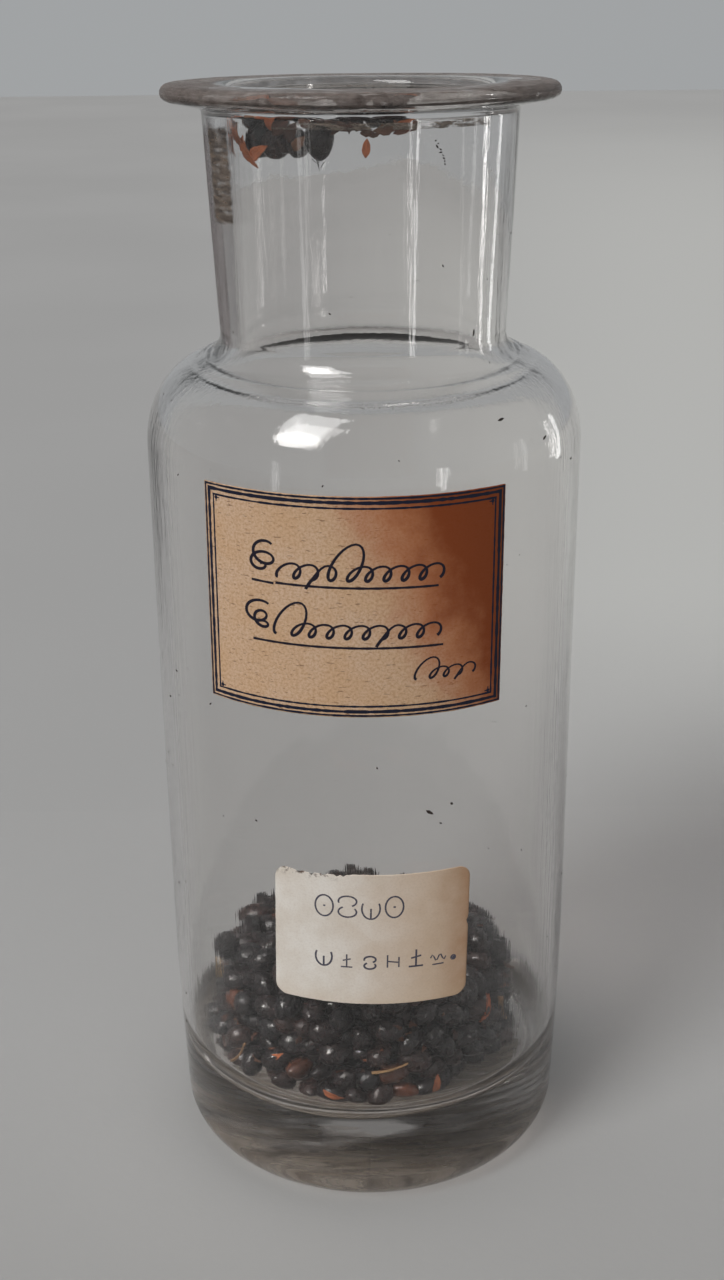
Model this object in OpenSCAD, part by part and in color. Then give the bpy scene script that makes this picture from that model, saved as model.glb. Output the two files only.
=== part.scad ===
// Open museum specimen jar of clear blown glass, with two pasted paper labels,
// a heap of dark seeds on its floor and a few seeds and husks stuck below its lip.
// The jar's axis is Z, its foot rests on Z = 0 and its labels face -Y.

/* [Jar body] */
// Height from the table to the top of the lip
jar_h = 124.6; // [110:0.2:140]
// Outer radius of the body
body_r = 24; // [21:0.1:27]
// Thickness of the body wall
body_wall = 1.7; // [1.2:0.1:2.4]
// Height at which the shoulder starts to curve in
shoulder_z = 87.2; // [80:0.1:90]
// Height of the shoulder's curve
shoulder_rise = 9.4; // [8:0.1:10]

/* [Foot] */
// Outer radius of the foot, just above the heel
foot_r = 23.4; // [20:0.1:24]
// Radius of the rounded heel
heel_r = 4; // [2:0.1:5]
// Height over which the foot widens to the body
foot_taper_h = 24; // [10:1:24]
// Depth of the hollow pushed up under the base
kick_h = 1.4; // [0.5:0.1:3]
// Thickness of the solid glass base at its edge
base_h = 10.8; // [6:0.1:12]
// Radius of the inside bottom corner
corner_r = 4.5; // [2:0.1:6]

/* [Neck and lip] */
// Radius of the straight bore of the neck
bore_r = 13.6; // [13:0.1:14]
// Outer radius of the neck where it leaves the shoulder
neck_r = 15.5; // [15.2:0.1:15.8]
// Outer radius of the neck under the lip
neck_top_r = 16.5; // [16.2:0.1:16.8]
// Outer radius of the flat lip
lip_r = 20.65; // [19.5:0.05:22]
// Thickness of the lip at its rim
lip_t = 1.6; // [1.2:0.1:2]
// Radius of the rounded mouth edge
mouth_round = 1.1; // [0.5:0.1:1.5]

/* [Labels] */
// Thickness of the label paper
paper_t = 0.12; // [0.08:0.01:0.2]
// Width of the name label across the jar
name_w = 30.2; // [26:0.1:32]
// Height of the name label
name_h = 23.6; // [20:0.1:24]
// Height of the name label's middle
name_z = 75.4; // [72:0.1:75.4]
// Width of the number label across the jar
number_w = 21; // [16:0.1:24]
// Height of the number label
number_h = 16.2; // [12:0.1:18]
// Height of the number label's middle
number_z = 36.9; // [36.9:0.1:42]
// Corner radius of the number label
number_corner = 1.4; // [0.5:0.1:3]

/* [Seeds] */
// Length of one seed
seed_l = 3.2; // [2.8:0.1:3.3]
// Width of one seed
seed_w = 2.4; // [2:0.1:2.5]
// Distance between neighbouring seeds in a course
seed_pitch = 3.45; // [3.4:0.05:3.6]
// Height of one course of seeds
course_h = 2.85; // [2.8:0.05:3]
// Radius of the middles of the heap's outermost seeds
heap_r = 17.2; // [16:0.1:17.5]
// Distance of the heap's middle from the jar's axis, towards the labels
heap_forward = 1; // [0:0.1:1.2]

/* [Hidden] */
$fn = 96;

inner_r = body_r - body_wall;
rest_in = 17;
foot_ring_r = foot_r - heel_r;
floor_rise = 0.6;
shoulder_in = 7.2;
shoulder_wall = 2;
shoulder_end = 78;
neck_fillet = 2.4;
neck_fillet_z = 99.2;
lip_fillet = 1.2;
lip_fillet_z = jar_h - 3.4;
paste_gap = 0.02;
wall_gap = 0.15;
husk_t = 0.2;
first_course_z = base_h + floor_rise + seed_w / 2 + 0.4;
course_reach = [heap_r, heap_r, heap_r, heap_r - 0.8, heap_r - 3];
cling_r = bore_r - husk_t - seed_w / 2 - 2 * wall_gap;
upper_row_z = 122.9;
lower_row_z = 119.6;
residue_z = 121;

// Points along an arc about c with the radii r = [across, up], from angle a to b.
function arc(c, r, a, b, n) =
    [for (i = [0 : n]) let (t = a + (b - a) * i / n) c + [r[0] * cos(t), r[1] * sin(t)]];

// A repeatable value from 0 to 1 for item i and channel k.
function scatter(i, k) = let (v = sin(i * 78.233 + k * 37.719 + 11) * 437.585) v - floor(v);

// The shoulder's curve, drawn at a distance t inside the outer face.
function shoulder_curve(t_side, t_top) =
    arc([body_r - shoulder_in, shoulder_z], [shoulder_in - t_side, shoulder_rise - t_top],
        0, shoulder_end, 12);

function underside() =
    [for (i = [0 : 5]) let (r = rest_in * i / 5) [r, kick_h * (1 - pow(r / rest_in, 2))]];

function foot_side() =
    [for (i = [0 : 6]) [foot_r + (body_r - foot_r) * sin(90 * i / 6), heel_r + foot_taper_h * i / 6]];

function reversed(list) = [for (i = [len(list) - 1 : -1 : 0]) list[i]];

function outside() = concat(
    underside(),
    arc([foot_ring_r, heel_r], [heel_r, heel_r], -90, 0, 8),
    foot_side(),
    shoulder_curve(0, 0),
    arc([neck_r + neck_fillet, neck_fillet_z], [neck_fillet, neck_fillet], 262, 180, 6),
    arc([neck_top_r + lip_fillet, lip_fillet_z], [lip_fillet, lip_fillet], 180, 98, 6),
    arc([lip_r - lip_t / 2, jar_h - lip_t / 2], [lip_t / 2, lip_t / 2], -75, 90, 8)
);

function inside() = concat(
    arc([bore_r + mouth_round, jar_h - mouth_round], [mouth_round, mouth_round], 90, 180, 6),
    arc([neck_r + neck_fillet, neck_fillet_z], [neck_r + neck_fillet - bore_r, 4.3], 180, 258, 6),
    reversed(shoulder_curve(body_wall, shoulder_wall)),
    arc([inner_r - corner_r, base_h + corner_r], [corner_r, corner_r], 0, -90, 8),
    [[0, base_h + floor_rise]]
);

module glass_jar() {
    color([0.86, 0.88, 0.87, 0.35])
        rotate_extrude()
            polygon(concat(outside(), inside()));
}

// A sheet wrapped on the body, cut to the outline that is drawn in the plane of X and Z.
module wrapped_paper(height_mid) {
    intersection() {
        difference() {
            translate([0, 0, height_mid - 20])
                cylinder(r = body_r + paste_gap + paper_t, h = 40);
            translate([0, 0, height_mid - 21])
                cylinder(r = body_r + paste_gap, h = 42);
        }
        translate([0, 0, height_mid])
            rotate([90, 0, 0])
                linear_extrude(height = 2 * body_r)
                    children();
    }
}

module rounded_outline(w, h, r) {
    union() {
        square([w - 2 * r, h], center = true);
        square([w, h - 2 * r], center = true);
        for (x = [-1, 1], y = [-1, 1])
            translate([x * (w / 2 - r), y * (h / 2 - r)])
                circle(r = r);
    }
}

module name_label() {
    color("tan")
        wrapped_paper(name_z)
            translate([-1.05, 0])
                rotate(-0.5)
                    square([name_w, name_h], center = true);
}

module number_label() {
    color("wheat")
        wrapped_paper(number_z)
            translate([0.4, 0])
                rotate(-1.4)
                    rounded_outline(number_w, number_h, number_corner);
}

// Half the outline of an ovoid seed along Z, blunt at the bottom and more pointed at the top.
function seed_outline(length, width) =
    [for (a = [18 : 28.8 : 162]) [width / 2 * sin(a) * (1 + 0.12 * cos(a)), -length / 2 * cos(a)]];

module seed(length = seed_l, width = seed_w) {
    outline = seed_outline(length, width);
    rotate_extrude()
        polygon(concat([[0, outline[0][1]]], outline, [[0, -outline[0][1]]]));
}

// One course of the heap: seeds lying in staggered rows, each turned by its own angle.
module seed_course(number) {
    reach = course_reach[number - 1];
    rows = floor(reach / seed_pitch);
    for (row = [-rows : rows]) {
        y = row * seed_pitch;
        shift = seed_pitch * ((row + number) % 2) / 2;
        half_row = sqrt(reach * reach - y * y);
        first = ceil((-half_row - shift) / seed_pitch);
        last = floor((half_row - shift) / seed_pitch);
        for (i = [first : last])
            translate([shift + i * seed_pitch, y - heap_forward, first_course_z + (number - 1) * course_h])
                rotate([90, 0, 360 * scatter(i + 20 * row, number)])
                    seed();
    }
}

module seeds_course_1() { color([0.12, 0.09, 0.09]) seed_course(1); }
module seeds_course_2() { color([0.13, 0.09, 0.08]) seed_course(2); }
module seeds_course_3() { color([0.12, 0.09, 0.09]) seed_course(3); }
module seeds_course_4() { color([0.14, 0.10, 0.09]) seed_course(4); }
module seeds_course_5() { color([0.12, 0.09, 0.09]) seed_course(5); }

// A seed standing on its end on the fourth course, at the heap's left edge.
module upright_seed() {
    color([0.15, 0.10, 0.09])
        translate([0, -heap_forward, first_course_z + 3 * course_h + (seed_w + seed_l) / 2])
            rotate(190)
                translate([heap_r + 0.2, 0, 0])
                    seed();
}

// One dry husk: a thin pointed leaf lying in the plane of X and Y.
module husk(length, width) {
    r = (pow(length / 2, 2) + pow(width / 2, 2)) / width;
    linear_extrude(height = husk_t, center = true)
        intersection() {
            translate([0, r - width / 2])
                circle(r = r);
            translate([0, width / 2 - r])
                circle(r = r);
        }
}

// Husks standing against the side of the heap: [azimuth from the front, height, lean, length].
side_husks = [
    [-38, 15.5, 35, 4.6], [-12, 13.4, -20, 3.4], [24, 13.2, 80, 3.6], [52, 19.4, 60, 4.4],
    [78, 15.5, 15, 3.6], [118, 14.6, -50, 4.2], [165, 18.2, 25, 4.0], [-150, 14.8, 70, 3.8],
    [-104, 16.4, -30, 4.0], [-72, 13.6, 10, 3.4]
];

// Leans a flat piece against an upright cylinder of radius r about the axis.
module against(r, azimuth, height, lean) {
    rotate(azimuth)
        translate([0, -r, height])
            rotate([90, 0, 0])
                rotate(lean)
                    children();
}

module heap_husks() {
    color([0.62, 0.36, 0.16])
        for (h = side_husks)
            translate([0, -heap_forward, 0]) against(heap_r + seed_l / 2 + 0.5, h[0], h[1], h[2])
                husk(h[3], 1.6);
}

module husks_on_top() {
    top = first_course_z + 4 * course_h + seed_w / 2 + 0.2;
    color([0.66, 0.40, 0.18])
        for (i = [0 : 4])
            rotate(72 * i + 20)
                translate([2.2 + 2.4 * scatter(i, 3), 0, top + husk_t / 2])
                    rotate(360 * scatter(i, 5))
                        husk(3.4, 1.3);
}

// Bits of straw leaning on the heap's side: [azimuth from the front, height, lean, length].
straws = [[-50, 14.6, 55, 5.0], [7, 16.8, 12, 4.2], [66, 16.6, -64, 5.4], [140, 17.6, 40, 4.6],
    [-125, 17.8, -35, 5.2], [-88, 18.8, 75, 3.8]];

module heap_straws() {
    color([0.55, 0.42, 0.26])
        for (s = straws)
            translate([0, -heap_forward, 0]) against(heap_r + seed_l / 2 + 0.75, s[0], s[1], s[2])
                rotate([0, 90, 0])
                    cylinder(d = 0.5, h = s[3], center = true);
}

// A row of seeds side by side against the bore of the neck, leaning by an angle from upright.
module wall_row(azimuths, height, lean) {
    for (i = [0 : len(azimuths) - 1])
        rotate(azimuths[i])
            translate([0, -cling_r, height + 0.1 * scatter(i, 8)])
                rotate([0, lean + 5 - 10 * scatter(i, 9), 0])
                    seed();
}

module clinging_seeds_upper() {
    color([0.12, 0.09, 0.09])
        wall_row([-65.5, -49.5, -33.5, -3.5, 12.5], upper_row_z, 90);
}

module clinging_seeds_lower() {
    color([0.14, 0.10, 0.09])
        wall_row([-55, -42.7, -30.5], lower_row_z, 0);
}

module hanging_seed() {
    color([0.10, 0.08, 0.10])
        rotate(-18)
            translate([0, -cling_r, 119.9])
                rotate([0, 6, 0])
                    seed(3.6, 2.5);
}

// Husks stuck flat on the bore of the neck: [azimuth, height, lean, length].
wall_husks = [[-74, 121.9, 80, 2.8], [-68, 119.4, 62, 3.4], [-52, 118.6, -52, 3.6],
    [-38, 121.8, 75, 2.2], [17.5, 121.6, 30, 2.4]];

module clinging_husks() {
    color([0.70, 0.36, 0.14])
        for (h = wall_husks)
            against(bore_r - wall_gap - husk_t / 2, h[0], h[1], h[2])
                husk(h[3], 1.4);
}

module hanging_husk() {
    color([0.72, 0.40, 0.24])
        against(bore_r - wall_gap - husk_t / 2, 2, 119.2, 85)
            husk(1.8, 0.9);
}

// The dried ring of sealing paste that runs around the bore below the mouth.
module seal_residue() {
    color([0.52, 0.48, 0.42])
        rotate(-90 + 24)
            rotate_extrude(angle = 300 - 24)
                translate([bore_r - 0.15, residue_z])
                    square([0.14, 0.4]);
}

glass_jar();
name_label();
number_label();
seeds_course_1();
seeds_course_2();
seeds_course_3();
seeds_course_4();
seeds_course_5();
upright_seed();
heap_husks();
heap_straws();
husks_on_top();
clinging_seeds_upper();
clinging_seeds_lower();
hanging_seed();
clinging_husks();
hanging_husk();
seal_residue();
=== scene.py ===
"""Looks of the open specimen jar: blown glass, two pasted labels, seeds and husks.

Everything is made in millimetres in the frame of the CAD model, and scaled to metres
when a mesh is written. The jar's axis is Z and its labels face -Y. An azimuth is
measured at the axis, in degrees, from the front of the jar towards +X.
"""

import math
import random

import bpy
import numpy as np
from mathutils import Euler, Matrix, Vector, noise


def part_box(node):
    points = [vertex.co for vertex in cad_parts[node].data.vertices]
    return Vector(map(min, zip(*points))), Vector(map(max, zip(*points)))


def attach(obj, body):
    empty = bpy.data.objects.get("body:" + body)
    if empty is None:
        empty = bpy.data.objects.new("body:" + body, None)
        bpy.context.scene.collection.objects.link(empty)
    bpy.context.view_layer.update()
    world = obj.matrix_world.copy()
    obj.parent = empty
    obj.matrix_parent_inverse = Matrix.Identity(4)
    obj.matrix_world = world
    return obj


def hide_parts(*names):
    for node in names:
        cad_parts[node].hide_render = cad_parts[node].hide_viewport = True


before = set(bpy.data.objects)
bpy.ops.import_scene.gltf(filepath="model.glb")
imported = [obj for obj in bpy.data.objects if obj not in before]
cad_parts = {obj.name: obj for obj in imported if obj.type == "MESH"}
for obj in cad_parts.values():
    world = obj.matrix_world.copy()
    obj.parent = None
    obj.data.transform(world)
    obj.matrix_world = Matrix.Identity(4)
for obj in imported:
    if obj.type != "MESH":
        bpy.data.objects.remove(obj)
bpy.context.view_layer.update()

MM = 0.001
BODY = "root"

# Sizes of the jar, in mm, as in the CAD model.
JAR_H, BODY_R, BODY_WALL = 124.6, 24.0, 1.7
SHOULDER_Z, SHOULDER_RISE, SHOULDER_IN, SHOULDER_WALL, SHOULDER_END = 87.2, 9.4, 7.2, 2.0, 78
FOOT_R, HEEL_R, FOOT_TAPER_H, KICK_H = 23.4, 4.0, 24.0, 1.4
BASE_H, CORNER_R, FLOOR_RISE, REST_IN = 10.8, 4.5, 0.6, 17.0
BORE_R, NECK_R, NECK_TOP_R, LIP_R, LIP_T, MOUTH_ROUND = 13.6, 15.5, 16.5, 20.65, 1.6, 1.1
NECK_FILLET, NECK_FILLET_Z, LIP_FILLET, LIP_FILLET_Z = 2.4, 99.2, 0.7, 121.7
INNER_R = BODY_R - BODY_WALL
GLASS_SEGMENTS = 224


def sind(a):
    return math.sin(math.radians(a))


def cosd(a):
    return math.cos(math.radians(a))


def at_azimuth(r, azimuth, z):
    """The point at radius r and an azimuth in radians."""
    return (r * math.sin(azimuth), -r * math.cos(azimuth), z)


def smoothstep(a, b, x):
    t = min(1.0, max(0.0, (x - a) / (b - a)))
    return t * t * (3 - 2 * t)


def srgb(r, g, b):
    """A linear colour from the 0..255 values of a screen colour."""
    def one(v):
        v /= 255
        return v / 12.92 if v <= 0.04045 else ((v + 0.055) / 1.055) ** 2.4
    return (one(r), one(g), one(b), 1.0)


# ---------------------------------------------------------------- meshes

def make_object(name, verts, faces, material, smooth=True, attributes=None):
    """A mesh object from vertices in mm. attributes: {name: vectors, one for each vertex}."""
    mesh = bpy.data.meshes.new(name)
    mesh.from_pydata([tuple(c * MM for c in v) for v in verts], [], faces)
    mesh.validate()
    for key, values in (attributes or {}).items():
        layer = mesh.attributes.new(key, "FLOAT_VECTOR", "POINT")
        layer.data.foreach_set("vector", np.array(values, np.float32).ravel())
    mesh.polygons.foreach_set("use_smooth", [smooth] * len(mesh.polygons))
    mesh.update()
    obj = bpy.data.objects.new(name, mesh)
    obj.data.materials.append(material)
    bpy.context.scene.collection.objects.link(obj)
    return obj


def piece(name, verts, faces, material, nodes=(), smooth=True, attributes=None):
    """An object that belongs to the jar, and stands for the CAD nodes named."""
    obj = make_object(name, verts, faces, material, smooth, attributes)
    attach(obj, BODY)
    if nodes:
        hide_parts(*nodes)
    return obj


def sheet_faces(columns, rows, flipped=False):
    """Faces of a closed thin sheet: two grids of points, one after the other, and their rim."""
    row = columns + 1
    n = row * (rows + 1)
    faces = []
    for j in range(rows):
        for i in range(columns):
            a = j * row + i
            quad = (a, a + row, a + row + 1, a + 1) if flipped else (a, a + 1, a + row + 1, a + row)
            faces += [quad, tuple(k + n for k in reversed(quad))]
    rim = (list(range(row)) + [j * row + columns for j in range(1, rows + 1)]
           + [rows * row + i for i in range(columns - 1, -1, -1)]
           + [j * row for j in range(rows - 1, 0, -1)])
    for a, b in zip(rim, rim[1:] + rim[:1]):
        faces.append((a, b, b + n, a + n) if flipped else (b, a, a + n, b + n))
    return faces


class Soup:
    """Many small closed shapes gathered into one mesh."""

    def __init__(self):
        self.verts, self.faces, self.local = [], [], []

    def add(self, shape, matrix):
        """shape is (vertices, faces). Its own coordinates are kept as the attribute "local"."""
        verts, faces = shape
        start = len(self.verts)
        self.verts += [tuple(matrix @ Vector(v)) for v in verts]
        self.faces += [tuple(i + start for i in f) for f in faces]
        self.local += verts

    def piece(self, name, material, slot, *nodes):
        piece(name, self.verts, self.faces, material, nodes, attributes={"local": self.local})


# ---------------------------------------------------------------- nodes

class Nodes:
    """Short ways to write the node tree of a material, or of the world."""

    def __init__(self, name, world=False):
        self.owner = (bpy.data.worlds if world else bpy.data.materials).new(name)
        self.owner.use_nodes = True
        self.tree = self.owner.node_tree
        self.tree.nodes.clear()
        self.out = self.node("ShaderNodeOutputWorld" if world else "ShaderNodeOutputMaterial")

    def node(self, kind, **settings):
        n = self.tree.nodes.new(kind)
        for key, value in settings.items():
            setattr(n, key, value)
        return n

    def link(self, a, b):
        self.tree.links.new(a, b)

    def put(self, value, socket):
        """Links value if it is a socket, or else sets it."""
        if isinstance(value, bpy.types.NodeSocket):
            self.link(value, socket)
        else:
            socket.default_value = value

    def attribute(self, name):
        return self.node("ShaderNodeAttribute", attribute_name=name).outputs["Vector"]

    def position(self):
        """Place in the jar's frame, in mm."""
        coords = self.node("ShaderNodeTexCoord").outputs["Object"]
        return self.vector("SCALE", coords, scale=1 / MM)

    def vector(self, operation, a, b=None, scale=None):
        n = self.node("ShaderNodeVectorMath", operation=operation)
        self.put(a, n.inputs[0])
        if b is not None:
            self.put(b, n.inputs[1])
        if scale is not None:
            n.inputs["Scale"].default_value = scale
        return n.outputs[0]

    def turned(self, vector, scale=(1, 1, 1), angle=0.0, move=(0, 0, 0)):
        n = self.node("ShaderNodeMapping")
        self.put(vector, n.inputs["Vector"])
        n.inputs["Scale"].default_value = scale
        n.inputs["Rotation"].default_value = (0, 0, math.radians(angle))
        n.inputs["Location"].default_value = move
        return n.outputs[0]

    def noise(self, vector, scale, detail=2.0, rough=0.5, distortion=0.0):
        n = self.node("ShaderNodeTexNoise")
        self.put(vector, n.inputs["Vector"])
        n.inputs["Scale"].default_value = scale
        n.inputs["Detail"].default_value = detail
        n.inputs["Roughness"].default_value = rough
        n.inputs["Distortion"].default_value = distortion
        return n.outputs["Fac"]

    def math(self, operation, a, b=0.0):
        n = self.node("ShaderNodeMath", operation=operation)
        self.put(a, n.inputs[0])
        self.put(b, n.inputs[1])
        return n.outputs[0]

    def plus(self, a, b):
        return self.math("ADD", a, b)

    def minus(self, a, b):
        return self.math("SUBTRACT", a, b)

    def times(self, a, b):
        return self.math("MULTIPLY", a, b)

    def ramp(self, value, start, end, low=0.0, high=1.0):
        """A smooth step of value from start to end, as a number from low to high."""
        n = self.node("ShaderNodeMapRange", interpolation_type="SMOOTHSTEP")
        self.put(value, n.inputs["Value"])
        for key, number in (("From Min", start), ("From Max", end), ("To Min", low),
                            ("To Max", high)):
            n.inputs[key].default_value = number
        return n.outputs["Result"]

    def mix(self, factor, a, b):
        n = self.node("ShaderNodeMix", data_type="RGBA")
        self.put(factor, n.inputs["Factor"])
        self.put(a, n.inputs[6])
        self.put(b, n.inputs[7])
        return n.outputs[2]

    def tint(self, base, value, start, end, colour, most=1.0):
        """base, turned towards colour as value goes from start to end, up to the share most."""
        return self.mix(self.ramp(value, start, end, 0.0, most), base, colour)

    def colours(self, value, stops):
        """A colour ramp with (place, colour) stops."""
        n = self.node("ShaderNodeValToRGB")
        ramp = n.color_ramp
        while len(ramp.elements) < len(stops):
            ramp.elements.new(0.5)
        for element, (place, colour) in zip(ramp.elements, stops):
            element.position = place
            element.color = colour
        self.put(value, n.inputs["Fac"])
        return n.outputs["Color"]

    def split(self, vector):
        """The three parts of a vector, as sockets."""
        n = self.node("ShaderNodeSeparateXYZ")
        self.put(vector, n.inputs[0])
        return n.outputs

    def bump(self, height, strength, distance):
        n = self.node("ShaderNodeBump")
        n.inputs["Strength"].default_value = strength
        n.inputs["Distance"].default_value = distance
        self.put(height, n.inputs["Height"])
        return n.outputs["Normal"]

    def principled(self, **values):
        """The surface shader. Names are the sockets' names with _ for a space."""
        n = self.node("ShaderNodeBsdfPrincipled")
        for key, value in values.items():
            self.put(value, n.inputs[key.replace("_", " ")])
        return n

    def finish(self, shader):
        self.link(shader, self.out.inputs["Surface"])
        return self.owner


# ---------------------------------------------------------------- materials

# What the glass lets through: light to its shadow, and light inside its thickness.
GLASS_SHADOW = (0.71, 0.69, 0.68, 1)
GLASS_DEPTH, GLASS_DEPTH_PER_M = (0.57, 0.535, 0.51, 1), 36.0


def glass_material():
    """Colourless old glass: a faint mauve body, drawn lines and a haze of handling."""
    m = Nodes("jar_glass")
    p = m.position()
    lines = m.noise(m.turned(p, (1.6, 1.6, 0.07)), 1.0, 3.0, 0.6)
    pits = m.noise(p, 1.1, 2.0, 0.5)
    haze = m.noise(m.turned(p, (0.12, 0.12, 0.06)), 1.0, 4.0, 0.65)
    height = m.plus(m.times(lines, 0.8), m.times(pits, 0.2))
    glass = m.principled(
        Base_Color=(0.987, 0.980, 0.974, 1),
        Roughness=m.ramp(haze, 0.45, 0.85, 0.005, 0.07),
        Normal=m.bump(height, 0.12, 0.00012), IOR=1.5, Transmission_Weight=1.0,
    )
    through = m.node("ShaderNodeBsdfTransparent")
    through.inputs["Color"].default_value = GLASS_SHADOW
    either = m.node("ShaderNodeMixShader")
    m.link(m.node("ShaderNodeLightPath").outputs["Is Shadow Ray"], either.inputs[0])
    m.link(glass.outputs[0], either.inputs[1])
    m.link(through.outputs[0], either.inputs[2])
    body = m.node("ShaderNodeVolumeAbsorption")
    body.inputs["Color"].default_value = GLASS_DEPTH
    body.inputs["Density"].default_value = GLASS_DEPTH_PER_M
    m.link(body.outputs[0], m.out.inputs["Volume"])
    return m.finish(either.outputs[0])


def stain_front(m, sheet, scale, wander, slant):
    """Distance in mm that a stain has run in from the right edge, along a wandering front."""
    across, up, _ = m.split(sheet)
    drift = m.times(m.minus(m.noise(sheet, scale, 4.0, 0.6), 0.5), wander)
    return m.plus(m.times(up, slant), m.plus(across, drift))


def kraft_material():
    """Tan fibrous paper with a rust stain that runs in from its right edge."""
    m = Nodes("label_kraft")
    sheet = m.attribute("sheet")
    across = m.split(sheet)[0]
    cloud = m.noise(sheet, 0.16, 4.0, 0.6)
    grain = m.noise(sheet, 3.4, 3.0, 0.7)
    base = m.tint(srgb(217, 181, 146), cloud, 0.3, 0.7, srgb(222, 192, 165))
    base = m.tint(base, grain, 0.35, 0.75, srgb(190, 148, 110), 0.9)
    flecks = 0.0
    for angle, seed in ((25, 3.0), (-38, 11.0), (78, 23.0)):
        threads = m.noise(m.turned(sheet, (0.75, 3.4, 1), angle, (seed, 0, 0)), 1.0, 2.0, 0.5)
        flecks = m.math("MAXIMUM", flecks, m.ramp(threads, 0.66, 0.73))
    base = m.mix(m.times(flecks, 0.62), base, srgb(108, 68, 38))
    pale = m.noise(m.turned(sheet, (3.0, 0.8, 1), 15, (40, 7, 0)), 1.0, 2.0, 0.5)
    base = m.tint(base, pale, 0.66, 0.74, srgb(222, 196, 172), 0.35)
    front = stain_front(m, sheet, 0.17, 11.0, 0.5)
    base = m.tint(base, front, 0.5, 9.5, srgb(178, 102, 58), 0.80)
    base = m.tint(base, front, 7.0, 13.5, srgb(132, 58, 18), 0.88)
    edge = m.ramp(m.math("ABSOLUTE", across), 15.4, 16.5)
    base = m.mix(m.times(edge, 0.30), base, srgb(120, 86, 56))
    shader = m.principled(Base_Color=base, Roughness=0.88, Specular_IOR_Level=0.25,
                          Normal=m.bump(grain, 0.35, 0.00006))
    return m.finish(shader.outputs[0])


def cream_material():
    """Cream gummed paper, browned at its right edge and dirty where its corner is torn."""
    m = Nodes("label_cream")
    sheet = m.attribute("sheet")
    across, up, _ = m.split(sheet)
    cloud = m.noise(sheet, 0.22, 4.0, 0.6)
    grain = m.noise(sheet, 4.0, 3.0, 0.7)
    base = m.tint(srgb(244, 238, 230), cloud, 0.3, 0.7, srgb(230, 220, 208))
    front = stain_front(m, sheet, 0.3, 5.0, 0.04)
    base = m.tint(base, front, -7.0, 9.0, srgb(208, 168, 126), 0.62)
    base = m.tint(base, front, 6.0, 13.0, srgb(172, 118, 72), 0.75)
    base = m.tint(base, up, -5.0, -9.0, srgb(206, 180, 146), 0.30)
    base = m.tint(base, grain, 0.4, 0.8, srgb(160, 134, 108), 0.18)
    torn_x = m.ramp(across, -3.2, -5.0)
    torn_z = m.ramp(up, 7.0, 8.0)
    speck = m.ramp(m.noise(sheet, 1.7, 3.0, 0.6), 0.50, 0.62)
    torn = m.times(m.times(torn_x, torn_z), speck)
    base = m.mix(m.times(torn, 0.95), base, srgb(96, 66, 46))
    shader = m.principled(Base_Color=base, Roughness=0.62, Specular_IOR_Level=0.35,
                          Normal=m.bump(grain, 0.22, 0.00005))
    return m.finish(shader.outputs[0])


def ink_material(name, ink, paper, worn_from, worn_to, strength):
    """Ink with small gaps where it has worn off the paper."""
    m = Nodes(name)
    local = m.attribute("local")
    worn = m.ramp(m.noise(local, 2.6, 4.0, 0.7), worn_from, worn_to, 0.0, strength)
    tone = m.mix(m.noise(local, 0.8, 2.0), ink, tuple(c * 1.7 for c in ink[:3]) + (1,))
    shader = m.principled(Base_Color=m.mix(worn, tone, paper), Roughness=0.6,
                          Specular_IOR_Level=0.3)
    return m.finish(shader.outputs[0])


def each_one(m):
    """A number from 0 to 1 that is different for each separate shape of a mesh."""
    return m.node("ShaderNodeNewGeometry").outputs["Random Per Island"]


def seed_material():
    """Shining, nearly black hulls, each with its own tone and streaks along it."""
    m = Nodes("seed_hull")
    local = m.attribute("local")
    each = each_one(m)
    shift = m.node("ShaderNodeCombineXYZ")
    m.put(m.times(each, 97.0), shift.inputs[0])
    m.put(m.times(each, 41.0), shift.inputs[1])
    own = m.vector("ADD", local, shift.outputs[0])
    base = m.colours(each, [
        (0.00, srgb(14, 8, 10)), (0.30, srgb(28, 16, 15)), (0.55, srgb(11, 7, 10)),
        (0.78, srgb(46, 26, 21)), (0.90, srgb(18, 10, 12)), (0.965, srgb(92, 50, 30)),
        (1.00, srgb(32, 20, 18)),
    ])
    streaks = m.noise(m.turned(own, (2.6, 2.6, 0.5)), 1.0, 3.0, 0.6)
    base = m.tint(base, streaks, 0.55, 0.80, srgb(70, 44, 34), 0.35)
    dust = m.noise(own, 1.3, 3.0, 0.6)
    base = m.tint(base, dust, 0.62, 0.85, srgb(104, 86, 76), 0.10)
    shader = m.principled(
        Base_Color=base, Roughness=m.ramp(dust, 0.35, 0.75, 0.20, 0.50),
        Normal=m.bump(streaks, 0.45, 0.00012),
        Specular_IOR_Level=0.38, Coat_Weight=0.15, Coat_Roughness=0.12,
    )
    return m.finish(shader.outputs[0])


def leaf_material(name, rough, stops):
    """Dry husk or straw: each with a tone of its own, ribbed along its length and blotched."""
    m = Nodes(name)
    local = m.attribute("local")
    base = m.colours(each_one(m), [(place, srgb(*tone)) for place, tone in stops])
    veins = m.noise(m.turned(local, (0.5, 5.0, 5.0)), 1.0, 3.0, 0.6)
    base = m.tint(base, veins, 0.45, 0.75, srgb(92, 52, 28), 0.55)
    blotch = m.noise(local, 0.9, 3.0, 0.6)
    base = m.tint(base, blotch, 0.55, 0.8, srgb(66, 40, 28), 0.5)
    shader = m.principled(Base_Color=base, Roughness=rough, Normal=m.bump(veins, 0.5, 0.0001),
                          Specular_IOR_Level=0.4)
    return m.finish(shader.outputs[0])


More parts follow.
